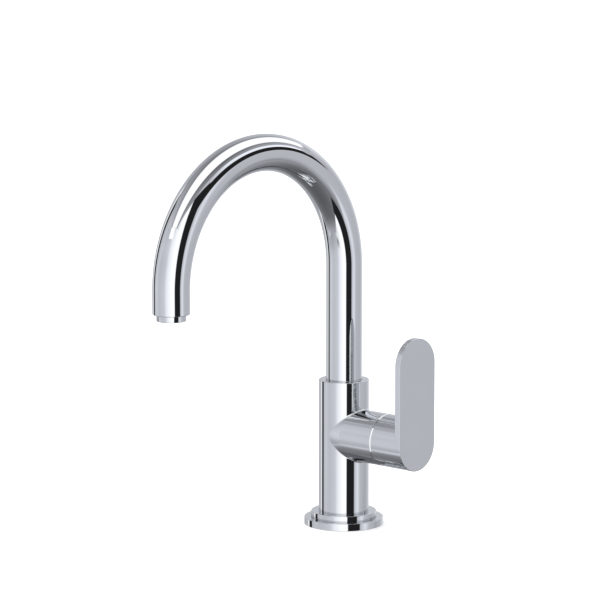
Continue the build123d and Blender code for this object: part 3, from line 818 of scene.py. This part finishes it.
    # both rows keep their own points, and a row of triangles joins them, level by level near the hub
    tri = []
    i = j = 0
    while i < m - 1 or j < q:
        if j == q or (i < m - 1 and share_o[i + 1] <= share_h[j + 1]):
            tri.append((inner_edge[i], inner_edge[i + 1], face_edge[j]))
            i += 1
        else:
            tri.append((inner_edge[i], face_edge[j + 1], face_edge[j]))
            j += 1
    for a_, b_, c_ in tri:
        s.grid([[a_, b_], [c_, c_]], np.tile([-1.0, 0, 0], (2, 2, 1)))
    return s.build("lever_handle_chrome", M_CHROME_LEVER, "lever", "lever_handle")


# ---------------------------------------------------------------- small parts that show
def limit_screw():
    s = Shape()
    b = around(96)
    face_y, head_r, hex_r, z0 = 16.9, 1.95, 1.15, LIMIT_Z

    def ring(r, y):
        return np.stack([r * np.cos(b), np.full_like(b, y) if np.isscalar(y) else y, z0 + r * np.sin(b)], -1)

    d = np.stack([np.cos(b), np.zeros_like(b), np.sin(b)], -1)
    yy = np.tile([0.0, 1, 0], (len(b), 1))
    hexa = hex_r * math.cos(math.pi / 6) / np.cos(b % (math.pi / 3) - math.pi / 6)
    tip_r, rows = 1.25, []
    prof = [((tip_r - 0.25, 11.15), (tip_r, 11.4)), ((tip_r, 11.4), (tip_r, 12.9)), ((tip_r, 12.9), (head_r, 12.9)), ((head_r, 12.9), (head_r, face_y - 0.2)),
            ((head_r, face_y - 0.2), (head_r - 0.2, face_y))]
    for (r0, y0), (r1, y1) in prof:
        t = np.array([r1 - r0, y1 - y0])
        n2 = np.array([t[1], -t[0]]) / np.linalg.norm(t)
        nn = d * n2[0] + yy * n2[1]
        s.rings([ring(r0, y0), ring(r1, y1)], [nn, nn])
    s.cap(ring(tip_r - 0.25, 11.15), (0, 11.15, z0), (0, -1, 0))
    rim = np.stack([hexa * np.cos(b), np.full_like(b, face_y), z0 + hexa * np.sin(b)], -1)
    s.rings([ring(head_r - 0.2, face_y), rim], [yy, yy])
    low = rim.copy()
    low[:, 1] = face_y - 2.0
    for k in range(6):
        ids = np.arange(16 * k, 16 * k + 17)
        ang = math.radians(30 + 60 * k)
        nn = np.tile([-math.cos(ang), 0, -math.sin(ang)], (17, 1))
        s.rings([rim[ids], low[ids]], [nn, nn])
    s.cap(low, (0, face_y - 2.0, z0), (0, 1, 0))
    return s.build("limit_screw_socket_head", M_STAINLESS, "mixer_body", "spout_limit_screw")


def grub_plug():
    s = Shape()
    b = around(96)
    hx, z0, r_skin = 55.0, BRANCH_Z, BRANCH_R - 0.05

    def skin(r):
        y = r * np.sin(b)
        return np.stack([hx + r * np.cos(b), y, z0 - np.sqrt(r_skin**2 - y**2)], -1)

    def flat(r, z):
        return np.stack([hx + r * np.cos(b), r * np.sin(b), np.full_like(b, z)], -1)

    d = np.stack([np.cos(b), np.sin(b), np.zeros_like(b)], -1)
    up = np.tile([0.0, 0, 1], (len(b), 1))
    ps, ns = [], []
    for r in (0.0, 0.6, 1.2, 1.8, 2.4, 2.9, 3.1):
        p = skin(r)
        ps.append(p)
        ns.append(np.stack([np.zeros_like(b), p[:, 1] / r_skin, (p[:, 2] - z0) / r_skin], -1))
    s.rings(ps, ns)
    lip, lip_n = [ps[-1]], [ns[-1]]
    for k in range(1, 5):
        w = math.pi / 2 * k / 4
        p = skin(3.1 + 0.15 * math.sin(w))
        p[:, 2] += 0.15 * (1 - math.cos(w))
        lip.append(p)
        lip_n.append(ns[-1] * math.cos(w) + d * math.sin(w))
    s.rings(lip, lip_n)
    top = flat(3.25, z0 - BRANCH_R + 2.5)
    s.rings([lip[-1], top], [d, d])
    pin = flat(2.3, z0 - BRANCH_R + 2.5)
    s.rings([top, pin], [up, up])
    pin_top = flat(2.3, z0 - BRANCH_R + 4.4)
    s.rings([pin, pin_top], [d, d])
    tip = flat(2.1, z0 - BRANCH_R + 4.6)
    s.rings([pin_top, tip], [(d + up) * 0.7, (d + up) * 0.7])
    s.cap(tip, (hx, 0, z0 - BRANCH_R + 4.6), (0, 0, 1))
    return s.build("grub_screw_plug_cap", M_CHROME_PLASTIC, "lever", "grub_screw_plug")


base_flange()
body_casting()
spout_tube()
outlet()
dome_cover()
lever()
limit_screw()
grub_plug()

# ---------------------------------------------------------------- studio
COOL = (0.984, 1.0, 1.068, 1)  # the walls' grey
REFLECTED = 0.70  # share of a light that polished chrome gives back, taken as grey
MID = 0.14        # height of the room's centre
SIDE_L, SIDE_R, FRONT, BACK, CEILING, PIT = 1.12, 1.04, 1.21, 2.07, 0.89, 0.98  # the room's half sizes


def math_node(nt, operation, a, b=None, c=None):
    m = node(nt, "ShaderNodeMath")
    m.operation = operation
    for k, v in enumerate((a, b, c)):
        if v is None:
            continue
        if isinstance(v, (int, float)):
            m.inputs[k].default_value = v
        else:
            nt.links.new(v, m.inputs[k])
    return m.outputs[0]


def emitter(name, tint=(1, 1, 1, 1)):
    m = bpy.data.materials.new(name)
    m.use_nodes = True
    nt = m.node_tree
    nt.nodes.clear()
    em = node(nt, "ShaderNodeEmission")
    em.inputs["Color"].default_value = tint
    out = node(nt, "ShaderNodeOutputMaterial")
    nt.links.new(em.outputs[0], out.inputs["Surface"])
    m.cycles.emission_sampling = "NONE"
    return m, nt, em, out


def place_along(nt, way):
    """Metres along a direction of the room, height counted from its centre."""
    d = node(nt, "ShaderNodeVectorMath")
    d.operation = "DOT_PRODUCT"
    nt.links.new(coordinates(nt), d.inputs[0])
    d.inputs[1].default_value = way
    return math_node(nt, "SUBTRACT", d.outputs["Value"], MID * way[2])


def grades(nt, way, stops, lift):
    """Display value along a direction. stops are (millimetres, value)."""
    lo, hi = stops[0][0] / 1000, stops[-1][0] / 1000
    r = node(nt, "ShaderNodeValToRGB")
    els = r.color_ramp.elements
    shade = [(v + lift) / 300 for _, v in stops]
    els[0].position, els[0].color = 0.0, (shade[0],) * 3 + (1,)
    els[1].position, els[1].color = 1.0, (shade[-1],) * 3 + (1,)
    for (p, _), v in zip(stops[1:-1], shade[1:-1]):
        e = els.new((p / 1000 - lo) / (hi - lo))
        e.color = (v, v, v, 1)
    nt.links.new(spread(nt, place_along(nt, way), lo, hi, 0.0, 1.0), r.inputs[0])
    return r.outputs[0]


def painted(name, way, stops, way2, stops2):
    """A luminous wall: its display value in the chrome is the sum of two gradients across each other."""
    m, nt, em, _ = emitter(name, COOL)
    total = math_node(nt, "ADD", grades(nt, way, stops, 0), grades(nt, way2, stops2, 100))
    v = math_node(nt, "MULTIPLY_ADD", total, 300 / 255 / 1.055, (0.055 - 100 / 255) / 1.055)
    lin = math_node(nt, "POWER", math_node(nt, "MAXIMUM", v, 0.0), 2.4)
    nt.links.new(math_node(nt, "DIVIDE", lin, REFLECTED), em.inputs["Strength"])
    return m


def soft_light(name, value, edges, power=1.0, tint=(1, 1, 1, 1)):
    """A light or a flag with soft edges. edges are (direction, start, end, softness at the start, at the end), in millimetres."""
    m, nt, em, out = emitter(name, tint)
    em.inputs["Strength"].default_value = ((value / 255 + 0.055) / 1.055) ** 2.4 / REFLECTED
    mask = None
    for way, a, b, soft_a, soft_b in edges:
        p = place_along(nt, way)
        for at, soft, up in ((a, soft_a, True), (b, soft_b, False)):
            if soft is None:
                continue
            r = node(nt, "ShaderNodeMapRange")
            if soft < 100:
                r.interpolation_type = "SMOOTHSTEP"
            lo, hi = (at - soft) / 1000, (at + soft) / 1000
            for k, q in (("From Min", lo), ("From Max", hi), ("To Min", 0.0 if up else 1.0), ("To Max", 1.0 if up else 0.0)):
                r.inputs[k].default_value = q
            nt.links.new(p, r.inputs["Value"])
            side = r.outputs[0] if soft < 300 else math_node(nt, "POWER", r.outputs[0], power)
            mask = side if mask is None else math_node(nt, "MULTIPLY", mask, side)
    mix = node(nt, "ShaderNodeMixShader")
    nt.links.new(mask, mix.inputs[0])
    nt.links.new(node(nt, "ShaderNodeBsdfTransparent").outputs[0], mix.inputs[1])
    nt.links.new(em.outputs[0], mix.inputs[2])
    nt.links.new(mix.outputs[0], out.inputs["Surface"])
    return m


def panel(name, corners, material):
    """A flat panel of the studio, seen only in reflections. Corners are in millimetres, heights from the room's centre."""
    mesh = bpy.data.meshes.new(name)
    mesh.from_pydata([(x / 1000, y / 1000, z / 1000 + MID) for x, y, z in corners], [], [(0, 1, 2, 3)])
    mesh.update()
    mesh.materials.append(material)
    o = bpy.data.objects.new(name, mesh)
    scene.collection.objects.link(o)
    o.visible_camera = o.visible_diffuse = o.visible_shadow = o.visible_transmission = o.visible_volume_scatter = False
    o.visible_glossy = True
    return o


ALONG_X, ALONG_Y, ALONG_Z = (1.0, 0.0, 0.0), (0.0, 1.0, 0.0), (0.0, 0.0, 1.0)
L, R_, F, B, C, G = (-1000 * SIDE_L, 1000 * SIDE_R, -1000 * FRONT, 1000 * BACK, 1000 * CEILING, -1000 * PIT)
WHITE, BLACK = 259, 31

# the room: grey walls, a dark pit under the tap and a ceiling with a long light
panel("studio_wall_right", [(R_, F, G), (R_, B, G), (R_, B, C), (R_, F, C)],
      painted("studio_right", ALONG_Z, [(-980, 136), (-690, 162), (-410, 181), (260, 183), (530, 200), (890, 209)],
              ALONG_Y, [(-500, -30), (0, -40), (500, 0), (1600, -5)]))
panel("studio_wall_left", [(L, F, G), (L, B, G), (L, B, C), (L, F, C)],
      painted("studio_left", ALONG_Z, [(-980, 188), (-935, 189), (-905, 164), (-690, 164), (-410, 187), (-100, 194), (260, 187), (890, 177)],
              ALONG_Y, [(-1210, 13), (-1000, 12), (-880, 4), (-300, -8), (900, -6), (1600, 15)]))
panel("studio_wall_front", [(L, F, G), (R_, F, G), (R_, F, C), (L, F, C)],
      painted("studio_front", ALONG_Z, [(-980, 170), (-690, 181), (-410, 200), (-100, 202), (260, 196), (530, 203), (890, 192)],
              ALONG_X, [(-1120, -5), (-960, -5), (-880, -10), (-500, -12), (0, -2), (300, 24), (600, 25)]))
panel("studio_wall_back", [(L, B, G), (R_, B, G), (R_, B, C), (L, B, C)],
      painted("studio_back", ALONG_Z, [(-980, 155), (-690, 184), (-410, 191), (-100, 193), (530, 187), (890, 191)],
              ALONG_X, [(-900, 30), (-400, 18), (0, 2), (400, -12), (900, -14)]))
panel("studio_ceiling", [(L, F, C), (R_, F, C), (R_, B, C), (L, B, C)],
      painted("studio_top", ALONG_X, [(-900, 170), (-700, 173), (-450, 152), (-290, 150), (310, 130), (430, 130), (520, 155), (650, 135), (800, 164), (950, 240)],
              ALONG_Y, [(-1100, 18), (-600, -6), (0, -31), (600, 2), (1200, 16), (1800, 39)]))
panel("studio_pit", [(L, F, G), (R_, F, G), (R_, B, G), (L, B, G)],
      painted("studio_bottom", ALONG_X, [(-1120, 136), (-1035, 142), (-985, 128), (-900, 118), (-450, 93), (0, 85), (450, 93), (900, 111)],
              ALONG_Y, [(-1100, 71), (-700, 13), (-300, 2), (500, 3), (1000, 32), (1700, 46)]))

# lights and flags, from the back to the front of the room's walls
panel("glow_right", [(R_ - 4, -190, -510), (R_ - 4, 650, -510), (R_ - 4, 650, 560), (R_ - 4, -190, 560)],
      soft_light("studio_glow_right", 221, [(ALONG_Y, 65, 485, 255, 155), (ALONG_Z, -450, 480, 50, 40)], tint=COOL))
panel("light_ceiling_right", [(500, -900, C - 4), (R_ - 6, -900, C - 4), (R_ - 6, 1900, C - 4), (500, 1900, C - 4)],
      soft_light("studio_light_right", 244, [(ALONG_X, 700, 916, 95, 95), (ALONG_Y, 110, 1683, 140, 95)], tint=COOL))
panel("light_ceiling_right_end", [(500, -900, C - 3), (R_ - 6, -900, C - 3), (R_ - 6, 500, C - 3), (500, 500, C - 3)],
      soft_light("studio_light_right_end", 186, [(ALONG_X, 680, 916, 95, 95), (ALONG_Y, -700, 250, 95, 140)], tint=COOL))
panel("light_ceiling", [(-350, -1200, C - 8), (370, -1200, C - 8), (370, 1800, C - 8), (-350, 1800, C - 8)],
      soft_light("studio_light", WHITE, [(ALONG_X, -268, 300, 26, 26), (ALONG_Y, -1300, 1641, None, 90)]))
panel("light_front", [(-350, F + 5, 640), (350, F + 5, 640), (290, F + 5, C - 9), (-410, F + 5, C - 9)],
      soft_light("studio_light_front", WHITE, [((1.0, 0.0, 0.3), -90, 440, 26, 50), (ALONG_Z, 658, 1000, 12, None)]))
panel("patch_front", [(90, F + 4, -940), (610, F + 4, -940), (610, F + 4, -440), (90, F + 4, -440)],
      soft_light("studio_patch", 60, [(ALONG_X, 193, 511, 80, 80), (ALONG_Z, -800, -580, 99, 99)]))
panel("bar_left", [(L + 20, -660, -950), (L + 20, -200, -950), (L + 20, -200, 880), (L + 20, -660, 880)],
      soft_light("studio_bar_left", 36, [(ALONG_Y, -562, -268, 16, 16), (ALONG_Z, -900, 860, 40, 20)], tint=COOL))
panel("stripe_left", [(L + 16, -300, -950), (L + 16, -20, -950), (L + 16, -20, 880), (L + 16, -300, 880)],
      soft_light("studio_stripe_left", 232, [(ALONG_Y, -262, -75, 16, 30), (ALONG_Z, -900, 860, 40, 20)]))
panel("ceiling_far_left", [(L + 4, -1190, C - 4), (-880, -1190, C - 4), (-880, -700, C - 4), (L + 4, -700, C - 4)],
      soft_light("studio_far_left", 188, [(ALONG_X, -1200, -990, None, 60), (ALONG_Y, -1300, -790, None, 45)], tint=COOL))
panel("ceiling_line_left", [(L + 4, -580, C - 5), (-800, -580, C - 5), (-800, -400, C - 5), (L + 4, -400, C - 5)],
      soft_light("studio_line_left", 176, [(ALONG_X, -1200, -860, None, 30), (ALONG_Y, -535, -452, 20, 20)], tint=COOL))
panel("ceiling_shade_left", [(L + 4, -420, C - 6), (-700, -420, C - 6), (-700, -60, C - 6), (L + 4, -60, C - 6)],
      soft_light("studio_shade_left", 138, [(ALONG_X, -1200, -770, None, 40), (ALONG_Y, -365, -120, 30, 60)], tint=COOL))
panel("ceiling_shade_back", [(L + 4, 360, C - 6), (-720, 360, C - 6), (-720, 900, C - 6), (L + 4, 900, C - 6)],
      soft_light("studio_shade_back", 144, [(ALONG_X, -1200, -800, None, 50), (ALONG_Y, 420, 740, 60, 90)], tint=COOL))
panel("bar_right", [(R_ - 19, -380, 350), (R_ - 19, B - 10, 350), (R_ - 19, B - 10, 880), (R_ - 19, -380, 880)],
      soft_light("studio_bar_right", BLACK, [(ALONG_Y, -321, 2404, 40, None), ((0.0, 0.025, 1.0), 413, 1300, 26, None), (ALONG_Z, -900, 834, None, 26)]))
panel("bar_back", [(760, B - 12, 330), (R_ - 4, B - 12, 330), (R_ - 4, B - 12, 760), (760, B - 12, 760)],
      soft_light("studio_bar_back", BLACK, [(ALONG_X, 860, 1300, 60, None), (ALONG_Z, 380, 700, 26, 40)]))

# softbox with a black flag at its right, square to a line a little right of the camera
turn = math.radians(-33)
out_n, out_t = (math.cos(turn), math.sin(turn)), (-math.sin(turn), math.cos(turn))
ALONG_U = (out_t[0], out_t[1], 0.0)


def board(distance, u0, u1, v0, v1):
    return [(distance * out_n[0] + u * out_t[0], distance * out_n[1] + u * out_t[1], v) for u, v in ((u0, v0), (u1, v0), (u1, v1), (u0, v1))]


panel("softbox", board(788, -900, 40, -880, 800),
      soft_light("studio_softbox", WHITE, [(ALONG_U, -640, -45, 375, 26), (ALONG_Z, -833, 900, 26, None), ((-0.17 * out_t[0], -0.17 * out_t[1], 1.0), -2000, 784, None, 26)], 1.5))
panel("flag", board(784, -80, 560, -950, 880),
      soft_light("studio_flag", BLACK, [(ALONG_U, -30, 506, 14, 26), (ALONG_Z, -902, 826, 26, 26)], tint=COOL))

# the plain pale floor that the tap stands on
floor_mesh = bpy.data.meshes.new("floor")
floor_mesh.from_pydata([(-20, -20, -0.00005), (20, -20, -0.00005), (20, 20, -0.00005), (-20, 20, -0.00005)], [], [(0, 1, 2, 3)])
floor_mesh.update()
fm, fnt, fb = mat("pale_floor")
fb.inputs["Base Color"].default_value = (0.9, 0.9, 0.9, 1)
fb.inputs["Roughness"].default_value = 0.9
fb.inputs["Specular IOR Level"].default_value = 0.0
floor_mesh.materials.append(fm)
floor = bpy.data.objects.new("floor", floor_mesh)
scene.collection.objects.link(floor)
floor.visible_glossy = False

world = bpy.data.worlds.new("studio")
scene.world = world
world.use_nodes = True
bg = world.node_tree.nodes["Background"]
bg.inputs["Color"].default_value = (1, 1, 1, 1)
bg.inputs["Strength"].default_value = 1.4
world.cycles_visibility.glossy = False


def lamp(name, place, target, size, power):
    d = bpy.data.lights.new(name, "AREA")
    d.shape = "RECTANGLE"
    d.size, d.size_y = size
    d.energy = power
    o = bpy.data.objects.new(name, d)
    scene.collection.objects.link(o)
    o.location = place
    o.rotation_mode = "QUATERNION"
    o.rotation_quaternion = (Vector(target) - Vector(place)).to_track_quat("-Z", "Y")
    o.visible_glossy = False
    o.visible_camera = False
    return o


lamp("key_softbox", (1.6, -1.5, 1.9), (0, 0, 0.1), (1.6, 1.6), 14.0)
lamp("top_softbox", (-0.6, 0.3, 2.4), (0, 0, 0.1), (2.2, 2.2), 12.0)

# ---------------------------------------------------------------- camera
AZ, EL, DIST = math.radians(42.935), math.radians(8.886), 2.1909
back = Vector((math.sin(AZ) * math.cos(EL), -math.cos(AZ) * math.cos(EL), math.sin(EL)))
right = (-back).cross(Vector((0, 0, 1))).normalized()
down = (-back).cross(right)
cam_data = bpy.data.cameras.new("camera")
cam_data.lens = 189.99
cam_data.sensor_width = 36.0
cam_data.clip_start, cam_data.clip_end = 0.05, 60.0
cam = bpy.data.objects.new("camera", cam_data)
scene.collection.objects.link(cam)
cam.location = Vector((0, 0, 0.140)) + right * -0.030513 - down * 0.017106 + back * DIST
cam.rotation_mode = "QUATERNION"
cam.rotation_quaternion = (-back).to_track_quat("-Z", "Y")
scene.camera = cam

scene.view_settings.view_transform = "Standard"
scene.view_settings.look = "None"
